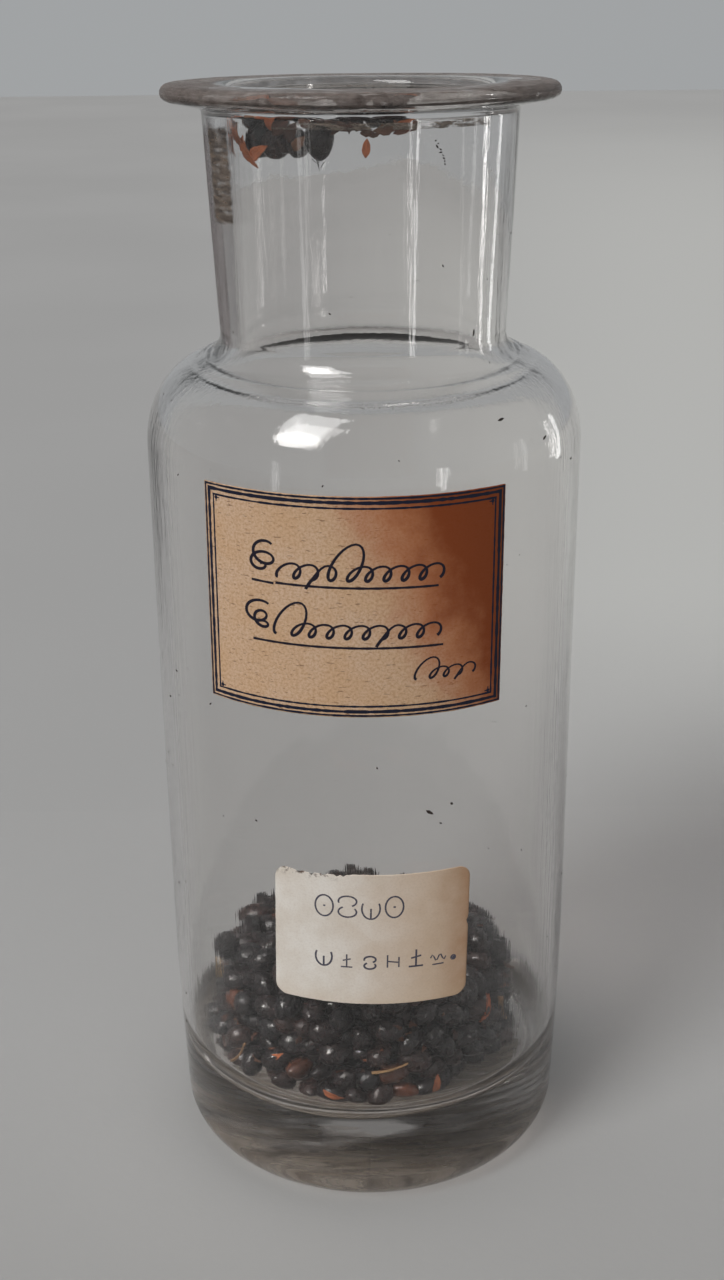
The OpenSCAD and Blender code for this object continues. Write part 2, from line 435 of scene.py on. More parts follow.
def grime_and_painted_light_material(name, colour, dark, cover_from, cover_to, scale, stretch, thick):
    """A thin broken film, ragged at its edges, that shows the glass in places. It serves for dirt and
    for painted light and shade.
    """
    m = Nodes(name)
    p = m.turned(m.position(), stretch)
    tone = m.noise(p, scale * 2.0, 3.0, 0.6)
    round_jar, over, _ = m.split(m.attribute("local"))
    middle = 1.0
    for share in (round_jar, over):
        arch = m.times(m.times(share, m.minus(1.0, share)), 4.0)
        middle = m.times(middle, m.ramp(arch, 0.0, 0.5))
    cover = m.plus(m.noise(p, scale, 5.0, 0.7, 0.4),
                   m.times(m.minus(middle, 1.0), 0.35))
    shader = m.principled(
        Base_Color=m.tint(srgb(*colour), tone, 0.35, 0.7, srgb(*dark)), Roughness=0.8,
        Alpha=m.ramp(cover, cover_from, cover_to, 0.0, thick),
    )
    return m.finish(shader.outputs[0])


GLASS = glass_material()
KRAFT = kraft_material()
CREAM = cream_material()
PEN_INK = ink_material("pen_ink", srgb(22, 18, 32), srgb(120, 88, 70), 0.62, 0.74, 0.5)
PRINT_INK = ink_material("print_ink", srgb(14, 18, 38), srgb(110, 92, 80), 0.66, 0.78, 0.6)
TYPE_INK = ink_material("type_ink", srgb(70, 68, 80), srgb(190, 176, 162), 0.54, 0.70, 0.65)
SEED = seed_material()
HUSK = leaf_material("husk", 0.55, [
    (0.0, (176, 92, 50)), (0.3, (138, 80, 48)), (0.6, (188, 106, 60)), (0.8, (140, 100, 66)),
    (1.0, (158, 76, 38))])
CHAFF = leaf_material("chaff", 0.6, [
    (0.0, (74, 46, 34)), (0.35, (52, 33, 27)), (0.6, (94, 56, 36)), (0.8, (110, 80, 58)),
    (0.93, (76, 44, 30)), (1.0, (144, 78, 42))])
STRAW = leaf_material("straw", 0.6, [
    (0.0, (158, 128, 88)), (0.5, (132, 98, 62)), (1.0, (176, 146, 104))])
# Films: light tone, dark tone, noise where cover starts and is full, scale, stretch, opacity.
RESIDUE = grime_and_painted_light_material("residue", (150, 138, 124), (96, 84, 74), 0.44, 0.62, 0.5, (1, 1, 2.5), 1.0)
LIP_GRIME = grime_and_painted_light_material("lip_grime", (158, 146, 140), (112, 100, 94), 0.12, 0.62, 0.45,
                           (1, 1, 2), 0.46)
# Painted shade: a mauve film that darkens the neck along its left edge.
NECK_EDGE_SHADE = grime_and_painted_light_material("neck_edge_shade", (104, 88, 88), (90, 74, 74), 0.0, 0.40, 0.2,
                            (1, 1, 0.2), 0.27)
# Partly wear, partly painted light: a pale film that brightens the base from inside.
WORN_FOOT_AND_LIGHT = grime_and_painted_light_material("worn_foot_and_painted_light", (176, 168, 158), (140, 129, 117), 0.36, 0.56, 0.17,
                           (0.5, 1.7, 1), 0.55)
STRIP_GRIME = grime_and_painted_light_material("strip_grime", (120, 104, 90), (58, 48, 42), 0.26, 0.52, 0.55,
                             (0.5, 0.5, 2.2), 0.66)


def speck_material():
    m = Nodes("specks")
    local = m.attribute("local")
    shader = m.principled(
        Base_Color=m.mix(m.noise(local, 3.0, 2.0), srgb(30, 24, 22), srgb(66, 52, 44)),
        Roughness=0.7)
    return m.finish(shader.outputs[0])


SPECKS = speck_material()


# ---------------------------------------------------------------- the jar

def arc(centre, radii, start, end, n):
    steps = (start + (end - start) * i / n for i in range(n + 1))
    return [(centre[0] + radii[0] * cosd(a), centre[1] + radii[1] * sind(a)) for a in steps]


def shoulder_curve(t_side, t_top, n):
    return arc((BODY_R - SHOULDER_IN, SHOULDER_Z), (SHOULDER_IN - t_side, SHOULDER_RISE - t_top),
               0, SHOULDER_END, n)


def outside_profile():
    under = [(REST_IN * i / 14, KICK_H * (1 - (i / 14) ** 2)) for i in range(15)]
    side = [(FOOT_R + (BODY_R - FOOT_R) * sind(90 * i / 10), HEEL_R + FOOT_TAPER_H * i / 10)
            for i in range(11)]
    return (under
            + arc((FOOT_R - HEEL_R, HEEL_R), (HEEL_R, HEEL_R), -90, 0, 20)
            + side
            + shoulder_curve(0, 0, 26)
            + arc((NECK_R + NECK_FILLET, NECK_FILLET_Z), (NECK_FILLET, NECK_FILLET), 262, 180, 14)
            + arc((NECK_TOP_R + LIP_FILLET, LIP_FILLET_Z), (LIP_FILLET, LIP_FILLET), 180, 98, 14)
            + arc((LIP_R - LIP_T / 2, JAR_H - LIP_T / 2), (LIP_T / 2, LIP_T / 2), -75, 90, 16))


def inside_profile():
    neck = NECK_R + NECK_FILLET
    return (arc((BORE_R + MOUTH_ROUND, JAR_H - MOUTH_ROUND), (MOUTH_ROUND, MOUTH_ROUND), 90, 180, 12)
            + arc((neck, NECK_FILLET_Z), (neck - BORE_R, 4.3), 180, 258, 14)
            + shoulder_curve(BODY_WALL, SHOULDER_WALL, 22)[::-1]
            + arc((INNER_R - CORNER_R, BASE_H + CORNER_R), (CORNER_R, CORNER_R), 0, -90, 18)
            + [(0, BASE_H + FLOOR_RISE)])


def refined(profile, step=1.6):
    """The profile without doubled points, and with no gap longer than step."""
    points = [profile[0]]
    for p in profile[1:]:
        q = points[-1]
        gap = math.hypot(p[0] - q[0], p[1] - q[1])
        if gap < 1e-4:
            continue
        n = max(1, math.ceil(gap / step))
        points += [(q[0] + (p[0] - q[0]) * i / n, q[1] + (p[1] - q[1]) * i / n)
                   for i in range(1, n + 1)]
    return points


# Unevenness of the glass: (height in mm, lobes round the jar, turns per mm of height, phase).
OUTER_WAVES = [(0.030, 2, 0.031, 0.7), (0.018, 3, -0.055, 2.1), (0.010, 5, 0.09, 4.0),
               (0.0045, 11, 0.05, 1.0), (0.0030, 17, -0.02, 3.3), (0.0016, 31, 0.01, 0.5)]
INNER_WAVES = [(0.060, 2, -0.04, 2.9), (0.045, 3, 0.07, 0.4), (0.022, 5, -0.13, 1.7),
               (0.008, 9, 0.10, 5.0), (0.0040, 16, 0.03, 2.2), (0.0020, 27, -0.01, 4.1)]
FLOOR_WAVES = [(0.10, 2, 0.32, 0.4), (0.07, 3, -0.50, 2.4), (0.05, 5, 0.90, 1.1),
               (0.03, 4, -1.60, 3.0)]


def waves(table, azimuth, along):
    return sum(a * math.sin(m * azimuth + k * along + ph) for a, m, k, ph in table)


def glass_offset(r, z, normal, azimuth, is_inner):
    """How far a point of the glass moves along its normal, in mm."""
    fade = smoothstep(0.0, 6.0, r)
    if is_inner:
        level = smoothstep(0.3, 0.9, abs(normal[1])) if z < BASE_H + CORNER_R else 0.0
        side = waves(INNER_WAVES, azimuth, z)
        return fade * (side * (1 - level) + level * 1.2 * waves(FLOOR_WAVES, azimuth, r))
    if z < HEEL_R and r < FOOT_R - HEEL_R:
        away = smoothstep(0.0, 1.0, (REST_IN - r) / 3)
        return fade * away * 0.8 * waves(FLOOR_WAVES, azimuth + 1.0, r)
    return fade * smoothstep(0.2, 3.0, z) * waves(OUTER_WAVES, azimuth, z)


def outer_radius(azimuth, z):
    """The body's outer radius at an azimuth in radians, as the glass mesh has it."""
    r = BODY_R if z > HEEL_R + FOOT_TAPER_H else FOOT_R + (BODY_R - FOOT_R) * sind(
        90 * (z - HEEL_R) / FOOT_TAPER_H)
    return r + waves(OUTER_WAVES, azimuth, z)


def profile_normals(profile):
    """The way out of the glass at each point of its profile."""
    normals = []
    for i in range(len(profile)):
        a, b = profile[max(0, i - 1)], profile[min(len(profile) - 1, i + 1)]
        run, rise = b[0] - a[0], b[1] - a[1]
        size = math.hypot(run, rise) or 1.0
        normals.append((rise / size, -run / size))
    return normals


def ring_faces(rings):
    """Faces between rings of vertex numbers. A ring of one is a point on the axis."""
    faces = []
    for lower, upper in zip(rings, rings[1:]):
        for s in range(GLASS_SEGMENTS):
            t = (s + 1) % GLASS_SEGMENTS
            if len(lower) == 1:
                faces.append((lower[0], upper[t], upper[s]))
            elif len(upper) == 1:
                faces.append((lower[s], lower[t], upper[0]))
            else:
                faces.append((lower[s], lower[t], upper[t], upper[s]))
    return faces


def make_glass():
    outside, inside = refined(outside_profile()), refined(inside_profile())
    profile = outside + inside[1:]
    verts, rings = [], []
    for i, ((r, z), normal) in enumerate(zip(profile, profile_normals(profile))):
        start = len(verts)
        if r < 1e-6:
            verts.append((0, 0, z))
        else:
            for s in range(GLASS_SEGMENTS):
                a = 2 * math.pi * s / GLASS_SEGMENTS
                d = glass_offset(r, z, normal, a, i >= len(outside))
                verts.append(at_azimuth(r + normal[0] * d, a, max(0.0, z + normal[1] * d)))
        rings.append(range(start, len(verts)))
    piece("glass_jar_blown", verts, ring_faces(rings), GLASS, ["glass_jar"])


make_glass()


# ---------------------------------------------------------------- paper and ink

PAPER_THICK, PASTE_GAP = 0.13, 0.02
INK_THICK, INK_SUNK = 0.016, 0.006


class Label:
    """A sheet pasted on the body. Its own coordinates are mm across and up from its middle."""

    def __init__(self, name, node, left, right, z, height, tilt, corner, slot, material, tear):
        self.name, self.node, self.slot, self.material = name, node, slot, material
        self.mid = math.radians((left + right) / 2)
        self.width = math.radians(right - left) * BODY_R
        self.z, self.height, self.tilt, self.corner = z, height, math.radians(tilt), corner
        self.tear = tear

    def place(self, u, v, lift):
        """A point of the sheet's plane, wrapped on the glass and lifted off it, in mm."""
        s = u * math.cos(self.tilt) + v * math.sin(self.tilt)
        t = -u * math.sin(self.tilt) + v * math.cos(self.tilt)
        a = self.mid + s / BODY_R
        z = self.z + t
        return at_azimuth(outer_radius(a, z) + lift, a, z)

    def lift_at(self, u, v):
        """How far the face of the paper stands off the glass: it swells, and curls at its edges."""
        rise = 0.012 * noise.noise(Vector((u * 0.35, v * 0.35, 5.0)))
        near = max(abs(u) / (self.width / 2), abs(v) / (self.height / 2)) ** 10
        return max(0.0, rise) + 0.03 * near

    def sheet(self, columns=110, rows=84):
        half_w, half_h, c = self.width / 2, self.height / 2, self.corner
        top = []
        for j in range(rows + 1):
            q = -1 + 2 * j / rows
            q = math.copysign(1 - (1 - abs(q)) ** 1.35, q)
            for i in range(columns + 1):
                p = -1 + 2 * i / columns
                v = q * half_h
                over = max(0.0, abs(v) - (half_h - c))
                reach = half_w - (c - math.sqrt(max(0.0, c * c - over * over)) if c else 0.0)
                u = p * reach
                fray = noise.noise(Vector((u * 1.9, v * 1.9, self.z))) * 0.05
                edge = max(abs(p), abs(q)) ** 14
                du, dv = self.tear(u, v)
                u += edge * (math.copysign(fray, u) + du)
                v += edge * (math.copysign(fray, v) + dv)
                top.append((u, v))
        verts = [self.place(u, v, lift + self.lift_at(u, v))
                 for lift in (PASTE_GAP + PAPER_THICK, PASTE_GAP) for u, v in top]
        piece(self.name, verts, sheet_faces(columns, rows), self.material, [self.node],
              attributes={"sheet": [(u, v, 0.0) for u, v in top * 2]})


class Ink:
    """Strokes on a label, each a thin raised ribbon of ink."""

    def __init__(self, label):
        self.label = label
        self.verts, self.faces, self.local = [], [], []

    def stroke(self, points, widths, closed=False):
        n = len(points)
        if not hasattr(widths, "__len__"):
            widths = [widths] * n
        start = len(self.verts)
        for i, (u, v) in enumerate(points):
            if closed:
                a, b = points[i - 1], points[(i + 1) % n]
            else:
                a, b = points[max(0, i - 1)], points[min(n - 1, i + 1)]
            du, dv = b[0] - a[0], b[1] - a[1]
            size = math.hypot(du, dv) or 1.0
            nu, nv = -dv / size * widths[i] / 2, du / size * widths[i] / 2
            base = PASTE_GAP + PAPER_THICK + self.label.lift_at(u, v) - INK_SUNK
            for side, lift in ((1, 0), (1, INK_THICK), (-1, INK_THICK), (-1, 0)):
                uu, vv = u + side * nu, v + side * nv
                self.verts.append(self.label.place(uu, vv, base + lift))
                self.local.append((uu, vv, 0.0))
        last = n if closed else n - 1
        for i in range(last):
            a, b = start + 4 * i, start + 4 * ((i + 1) % n)
            for k in range(4):
                m = (k + 1) % 4
                self.faces.append((a + k, b + k, b + m, a + m))
        if not closed:
            self.faces.append(tuple(start + k for k in range(4)))
            self.faces.append(tuple(start + 4 * (n - 1) + k for k in (3, 2, 1, 0)))

    def dot(self, u, v, radius):
        ring = [(u + radius * cosd(a) / 2, v + radius * sind(a) / 2) for a in range(0, 360, 30)]
        self.stroke(ring, radius, closed=True)

    def piece(self, name, material):
        piece(name, self.verts, self.faces, material, smooth=False,
              attributes={"local": self.local})


def no_tear(u, v):
    return 0.0, 0.0


def number_tear(u, v):
    """The number label's torn top left edge, and a nick in its right edge."""
    ragged = 0.32 * smoothstep(-2.0, -4.0, u) * smoothstep(-9.8, -8.2, u)
    down = ragged * (0.4 + abs(noise.noise(Vector((u * 1.4, 3.0, 0.0)))) * 2.2) if v > 6 else 0.0
    nick = -0.22 * math.exp(-((v - 1.2) / 0.35) ** 2) if u > 8 else 0.0
    return nick, -down


# Azimuths of the left and right edges, height of the middle, height of the paper, its tilt in
# degrees and the radius of its corners.
NAME_LABEL = Label("name_label_paper", "name_label", -42.2, 35.8, 75.4, 23.6, 0.5, 0.0,
                   "label_kraft", KRAFT, no_tear)
NUMBER_LABEL = Label("number_label_paper", "number_label", -25.0, 27.0, 36.9, 16.2, 1.4, 1.4,
                     "label_cream", CREAM, number_tear)
NAME_LABEL.sheet()
NUMBER_LABEL.sheet()


def line(a, b, step=0.45):
    n = max(2, int(math.hypot(b[0] - a[0], b[1] - a[1]) / step))
    return [(a[0] + (b[0] - a[0]) * i / n, a[1] + (b[1] - a[1]) * i / n) for i in range(n + 1)]


def ruled_border(ink):
    """Three printed lines round the name label, with a small mark in each inner corner."""
    rng = random.Random(4)
    half_w, half_h = ink.label.width / 2, ink.label.height / 2
    for inset, width in ((0.17, 0.23), (0.62, 0.37), (1.20, 0.22)):
        x, z = half_w - inset, half_h - inset
        corners = [(-x, -z), (x, -z), (x, z), (-x, z)]
        for a, b in zip(corners, corners[1:] + corners[:1]):
            over = width / 2
            size = math.hypot(b[0] - a[0], b[1] - a[1])
            ux, uz = (b[0] - a[0]) / size * over, (b[1] - a[1]) / size * over
            points = line((a[0] - ux, a[1] - uz), (b[0] + ux, b[1] + uz))
            ink.stroke(points, [width * rng.uniform(0.7, 1.15) for _ in points])
    for sx in (-1, 1):
        for sz in (-1, 1):
            x, z = sx * (half_w - 1.55), sz * (half_h - 1.5)
            ink.dot(x, z, 0.20)
            ink.stroke(line((x - sx * 0.42, z), (x + sx * 0.1, z), 0.1), 0.12)
            ink.stroke(line((x, z - sz * 0.42), (x, z + sz * 0.1), 0.1), 0.12)


def scrawl(ink, start, end, base, x_height, hooks, width, seed, slant=0.42):
    """Meaningless looped pen strokes in a row. hooks gives each loop's height and depth."""
    rng = random.Random(seed)
    points, widths = [], []
    per = 22
    pitch = (end - start) / len(hooks)
    for i, (rise, drop) in enumerate(hooks):
        for k in range(per):
            t = k / per
            swing = math.sin(2 * math.pi * t)
            lift = (1 - math.cos(2 * math.pi * t)) / 2
            height = x_height * rise * lift
            depth = x_height * drop * max(0.0, math.sin(math.pi * min(1.0, t * 1.6))) ** 2
            u = start + pitch * (i + t) - pitch * (0.26 + 0.12 * rise) * swing
            v = base + height - depth * (1 - lift)
            u += slant * (v - base)
            points.append((u, v))
            widths.append(width * (0.90 + 0.5 * (1 - lift) * rng.uniform(0.8, 1.1)))
    ink.stroke(points, widths)


def flourish(ink, u, v, height, width, way):
    """A large meaningless curl that opens a row of pen strokes."""
    points = []
    steps = 70
    for k in range(steps + 1):
        t = k / steps
        a = 2 * math.pi * (0.10 + 2.2 * t)
        swell = 0.30 - 0.17 * t
        points.append((u + height * (swell * math.cos(a) * 1.2 + way * 0.10 * math.sin(6.3 * t)),
                       v + height * (0.66 - 0.50 * t + swell * 0.9 * math.sin(a))))
    ink.stroke(points, [width * (0.95 + 0.35 * abs(math.sin(7 * k / steps)))
                        for k in range(steps + 1)])


def pen_marks():
    ink = Ink(NAME_LABEL)
    tall, short, deep = (2.5, 0.0), (1.0, 0.0), (1.0, 2.2)
    flourish(ink, -9.4, 3.1, 4.0, 0.27, 1)
    scrawl(ink, -7.6, 8.8, 3.05, 1.55, [short] * 2 + [deep, tall] + [short] * 5, 0.26, 5)
    flourish(ink, -9.8, -3.1, 3.7, 0.27, -1)
    scrawl(ink, -7.9, 8.6, -3.15, 1.45,
           [tall] + [short] * 5 + [(1.0, 2.0)] + [short] * 2, 0.25, 8)
    scrawl(ink, 6.6, 12.7, -7.8, 1.15, [(2.0, 0.0), short, short, (1.0, 1.6)], 0.20, 12)
    for height, spans in ((2.3, ((-10.6, -8.1), (-7.9, 8.8))), (-4.15, ((-10.6, 9.4),))):
        for a, b in spans:
            points = line((a, height + 0.05), (b, height - 0.05))
            ink.stroke(points, [0.25 + 0.03 * math.sin(1.7 * i) for i in range(len(points))])
    ink.piece("name_label_pen_marks", PEN_INK)


def ring(u, v, wide, tall, start=0, end=360):
    """Points round an upright oval, between two angles."""
    steps = max(4, int(abs(end - start) / 14))
    angles = (start + (end - start) * i / steps for i in range(steps + 1))
    return [(u + wide * cosd(a), v + tall * sind(a)) for a in angles]


def struck_mark(kind, u, v, tall):
    """The strokes of one meaningless mark that stands on v and is tall high."""
    half, mid = tall / 2, v + tall / 2
    wide = 0.36 * tall + 0.05
    bar = line((u - wide, v), (u + wide, v), 0.2)
    return {
        "eye": [ring(u, mid, wide, half), line((u - 0.12, mid), (u + 0.14, mid), 0.1)],
        "hooks": [ring(u, mid + half / 2, wide, half / 2, 200, -60),
                  ring(u, mid - half / 2, wide, half / 2, 120, 400)],
        "basket": [ring(u, mid, wide, half, 150, 390), line((u, v), (u, mid), 0.2)],
        "post": [line((u, v), (u, v + tall), 0.2), bar,
                 line((u - wide * 0.7, mid), (u + wide * 0.7, mid + 0.25), 0.2)],
        "gate": [line((u - wide, v), (u - wide, v + tall), 0.2),
                 line((u + wide, v), (u + wide, v + tall * 0.8), 0.2),
                 line((u - wide, mid), (u + wide, mid - 0.2), 0.2)],
        "wave": [[(u - 0.9 + 0.2 * i, mid + 0.45 * half * math.sin(1.4 * i)) for i in range(10)],
                 bar],
    }[kind]


def typed_marks():
    """Two rows of meaningless machine-struck marks on an even pitch."""
    ink = Ink(NUMBER_LABEL)
    pitch = 2.54
    rows = ((2.8, ("eye", "hooks", "basket", "eye"), (2.6,) * 4),
            (-3.5, ("basket", "post", "hooks", "gate", "post", "wave"),
             (2.4, 1.6, 1.6, 1.6, 2.1, 1.7)))
    for row, (base, kinds, sizes) in enumerate(rows):
        for i, (kind, tall) in enumerate(zip(kinds, sizes)):
            for points in struck_mark(kind, -5.3 + pitch * i, base + 0.1 * math.sin(2.3 * i), tall):
                ink.stroke(points, 0.19 + 0.03 * math.sin(3.1 * i + row))
    ink.dot(9.2, -3.1, 0.36)
    ink.piece("number_label_typed_marks", TYPE_INK)


border = Ink(NAME_LABEL)
ruled_border(border)
border.piece("name_label_printed_border", PRINT_INK)
pen_marks()
typed_marks()


# ---------------------------------------------------------------- seeds and husks

def grain(length, width, seed, around=14, along=11):
    """One hull along Z: blunt below, drawn to a point above, with soft keels and dents."""
    rng = random.Random(seed)
    keel, turn, flat = rng.uniform(0.03, 0.08), rng.uniform(0, 6), rng.uniform(0.78, 0.95)
    bend = rng.uniform(-0.12, 0.12) * width
    verts, faces = [(0, 0, -length / 2)], []
    for j in range(1, along):
        t = j / along
        z = -math.cos(math.pi * t) * length / 2
        r = width / 2 * math.sin(math.pi * t) ** 0.82 * (1.12 - 0.42 * t ** 2.2)
        for i in range(around):
            a = 2 * math.pi * i / around
            lobe = 1 + keel * math.cos(3 * a + turn) + 0.02 * math.sin(5 * a + 4 * t + turn)
            verts.append((r * lobe * math.cos(a) + bend * math.sin(math.pi * t),
                          r * lobe * flat * math.sin(a), z))
    verts.append((0, 0, length / 2 * 1.04))
    top = len(verts) - 1
    for i in range(around):
        k = (i + 1) % around
        faces.append((0, 1 + k, 1 + i))
        faces.append((top, top - around + i, top - around + k))
        for j in range(along - 2):
            a = 1 + j * around
            faces.append((a + i, a + k, a + around + k, a + around + i))
    return verts, faces


GRAINS = ([grain(4.2, 3.1, s) for s in range(5)] + [grain(3.7, 2.7, s) for s in range(5, 8)]
          + [grain(4.5, 2.7, 8)])


def leaf(length, width, curl, cup, thickness=0.10, along=12, across=4, ragged=0.0, seed=1):
    """A dry scale in the plane of X and Y, closed, curled along and cupped across."""
    rng = random.Random(seed)
    top, bottom = [], []
    for i in range(along + 1):
        t = i / along
        half = width / 2 * (math.sin(math.pi * min(0.985, max(0.02, t))) ** 0.7) * (1 - 0.25 * t)
        half *= 1 + ragged * rng.uniform(-1, 1)
        for j in range(across + 1):
            s = -1 + 2 * j / across
            x = (t - 0.5) * length
            y = s * half
            z = curl * (x / length) ** 2 * 4 + cup * s * s * half
            top.append((x, y, z + thickness / 2))
            bottom.append((x, y, z - thickness / 2))
    return top + bottom, sheet_faces(across, along, flipped=True)


def stick(length, width, bend, around=6, along=8):
    """A bit of straw along X, tapering and slightly bent."""
    verts, faces = [], []
    for i in range(along + 1):
        t = i / along
        r = width / 2 * (1 - 0.45 * t)
        for k in range(around):
            a = 2 * math.pi * k / around
            verts.append(((t - 0.5) * length, r * math.cos(a) + bend * (t - 0.5) ** 2 * 4,
                          r * math.sin(a)))
    for i in range(along):
        for k in range(around):
            m = (k + 1) % around
            a = i * around
            faces.append((a + k, a + around + k, a + around + m, a + m))
    faces.append(tuple(range(around)))
    faces.append(tuple(reversed(range(along * around, (along + 1) * around))))
    return verts, faces


def on_wall(r, azimuth, z, lean):
    """A frame at radius r whose XY plane lies on the wall and whose Z looks outward."""
    a = math.radians(azimuth)
    return (Matrix.Translation(at_azimuth(r, a, z))
            @ Matrix.Rotation(a, 4, "Z") @ Matrix.Rotation(math.pi / 2, 4, "X")
            @ Matrix.Rotation(math.radians(lean), 4, "Z"))


# The heap: grains packed by pushing overlapping neighbours apart inside its outline.
HEAP_GRAINS = 740
HEAP_FLOOR = BASE_H + FLOOR_RISE + 1.25
HEAP_R, HEAP_R_MOST, HEAP_LUMPS = 17.7, 18.4, 1.8
HEAP_TOP, TOP_LUMPS = 24.2, 2.6
START_R, START_TOP = 17.5, 24.5
COURSE_TOPS = [14.4, 17.3, 20.1, 23.0, 99.0]
PACKING_STEPS, GRAINS_APART, PUSH, SINK = 90, 2.9, 0.42, 0.02
RANDOM_TURN = 6.28
SIDE_CHAFF, TOP_CHAFF, TOP_CHAFF_R = 150, 40, 14


def heap_reach(azimuth, z):
    """Radius of the grain middles at the heap's outside: it tapers up and to the right."""
    lump = noise.noise(Vector((math.sin(azimuth) * 1.5, math.cos(azimuth) * 1.5, z * 0.2)))
    taper = 2.0 * smoothstep(18.5, 25.0, z) + 2.0 * max(0.0, math.sin(azimuth))
    foot = 0.9 * max(0.0, math.cos(azimuth)) * smoothstep(16.0, 13.0, z)
    return min(HEAP_R_MOST, HEAP_R + HEAP_LUMPS * lump) - taper + foot


def heap_top(x, y):
    """Height of the heap over a place: it falls to the back and to the right."""
    lump = noise.noise(Vector((x * 0.13 + 4.0, y * 0.13, 1.0)))
    slope = 2.4 * smoothstep(5.0, 15.0, y) + 1.5 * smoothstep(4.0, 14.0, x)
    return HEAP_TOP + TOP_LUMPS * lump - slope


def packed_heap():
    """The middles of the grains, after neighbours have pushed each other apart."""
    rng = np.random.default_rng(20)
    n = HEAP_GRAINS
    a = rng.uniform(0, 2 * math.pi, n)
    r = START_R * np.sqrt(rng.uniform(0, 1, n))
    p = np.stack([r * np.sin(a), -r * np.cos(a), rng.uniform(HEAP_FLOOR, START_TOP, n)], 1)
    for _ in range(PACKING_STEPS):
        gap = p[:, None, :] - p[None, :, :]
        size = np.sqrt((gap ** 2).sum(2)) + 1e-9
        np.fill_diagonal(size, 9.0)
        push = np.clip(GRAINS_APART - size, 0, None) / size * PUSH
        p += (gap * push[:, :, None]).sum(1)
        p[:, 2] -= SINK
        for i in range(n):
            x, y, z = p[i]
            reach = heap_reach(math.atan2(x, -y), z)
            away = math.hypot(x, y)
            if away > reach:
                p[i, 0] *= reach / away
                p[i, 1] *= reach / away
            p[i, 2] = min(max(z, HEAP_FLOOR), heap_top(x, y))
    return p


def turned_by(angles, order="XYZ"):
    return Euler(angles, order).to_matrix().to_4x4()


def fill_courses(points):
    rng = random.Random(31)
    soups = [Soup() for _ in COURSE_TOPS]
    for place in points:
        level = next(k for k, top in enumerate(COURSE_TOPS) if place[2] <= top)
        shape = GRAINS[rng.randrange(len(GRAINS))]
        tip = math.radians(rng.gauss(90, 34))
        turn = turned_by((tip, rng.uniform(0, RANDOM_TURN), rng.uniform(0, RANDOM_TURN)), "ZYX")
        spin = Matrix.Rotation(rng.uniform(0, RANDOM_TURN), 4, "Z")
        size = Matrix.Diagonal([rng.uniform(0.88, 1.06) for _ in range(3)]).to_4x4()
        soups[level].add(shape, Matrix.Translation(place) @ turn @ spin @ size)
    for k, soup in enumerate(soups):
        soup.piece(f"grains_course_{k + 1}", SEED, "seed_hull", f"seeds_course_{k + 1}")


HEAP = packed_heap()
fill_courses(HEAP)


def heap_edge(azimuth, z):
    """Radius of the heap's outer grains near a place on its side."""
    a = math.radians(azimuth)
    out = np.array([math.sin(a), -math.cos(a)])
    side = np.array([math.cos(a), math.sin(a)])
    across = HEAP[:, :2] @ side
    along = HEAP[:, :2] @ out
    near = (np.abs(across) < 1.6) & (np.abs(HEAP[:, 2] - z) < 1.6)
    return float(along[near].max()) + 1.2 if near.any() else 17.0


# Husks on the side of the heap, as in the CAD: [azimuth, height, lean, length].
SIDE_HUSKS = [(-38, 15.5, 35, 4.6), (-12, 13.4, -20, 3.4), (24, 13.2, 80, 3.6), (52, 19.4, 60, 4.4),
              (78, 15.5, 15, 3.6), (118, 14.6, -50, 4.2), (165, 18.2, 25, 4.0),
              (-150, 14.8, 70, 3.8), (-104, 16.4, -30, 4.0), (-72, 13.6, 10, 3.4)]
STRAWS = [(-50, 14.6, 55, 5.0), (7, 16.8, 12, 4.2), (66, 16.6, -64, 5.4), (140, 17.6, 40, 4.6),
          (-125, 17.8, -35, 5.2), (-88, 18.8, 75, 3.8)]


def side_husks():
    husks = Soup()
    for i, (azimuth, z, lean, length) in enumerate(SIDE_HUSKS):
        husks.add(leaf(0.8 * length, 1.1, -0.5, 0.35, ragged=0.08, seed=i),
                  on_wall(heap_edge(azimuth, z) + 0.12, azimuth, z, lean))
    husks.piece("heap_side_husks", HUSK, "husk", "heap_husks")


def side_straws():
    straws = Soup()
    for azimuth, z, lean, length in STRAWS:
        straws.add(stick(length, 0.42, 0.3), on_wall(heap_edge(azimuth, z) + 0.2, azimuth, z, lean))
    straws.piece("heap_side_straws", STRAW, "straw", "heap_straws")


def heap_chaff():
    """Broken scales in the heap's side, and some strewn on its top."""
    rng = random.Random(7)
    chaff = Soup()
    for i in range(SIDE_CHAFF):
        azimuth, z = rng.uniform(-180, 180), rng.uniform(12.3, 22.0)
        flake = leaf(rng.uniform(1.2, 2.8), rng.uniform(0.5, 1.1), rng.uniform(-0.4, 0.4),
                     rng.uniform(0.1, 0.6), 0.07, 8, 3, 0.12, i)
        tilt = turned_by((rng.gauss(0, 0.5), rng.gauss(0, 0.5), 0))
        r = heap_edge(azimuth, z) - rng.uniform(0.3, 1.3)
        chaff.add(flake, on_wall(r, azimuth, z, rng.uniform(0, 360)) @ tilt)
    for i in range(TOP_CHAFF):
        x, y = rng.uniform(-TOP_CHAFF_R, TOP_CHAFF_R), rng.uniform(-TOP_CHAFF_R, TOP_CHAFF_R)
        if math.hypot(x, y) > TOP_CHAFF_R:
            continue
        flake = leaf(rng.uniform(1.2, 2.6), rng.uniform(0.5, 1.1), 0.2, 0.4, 0.07, 8, 3, 0.12, i)
        place = Matrix.Translation((x, y, heap_top(x, y) + rng.uniform(0.4, 1.0)))
        chaff.add(flake, place @ turned_by((rng.gauss(0, 0.4), rng.gauss(0, 0.4), rng.uniform(0, 6))))
    chaff.piece("heap_chaff", CHAFF, "husk")


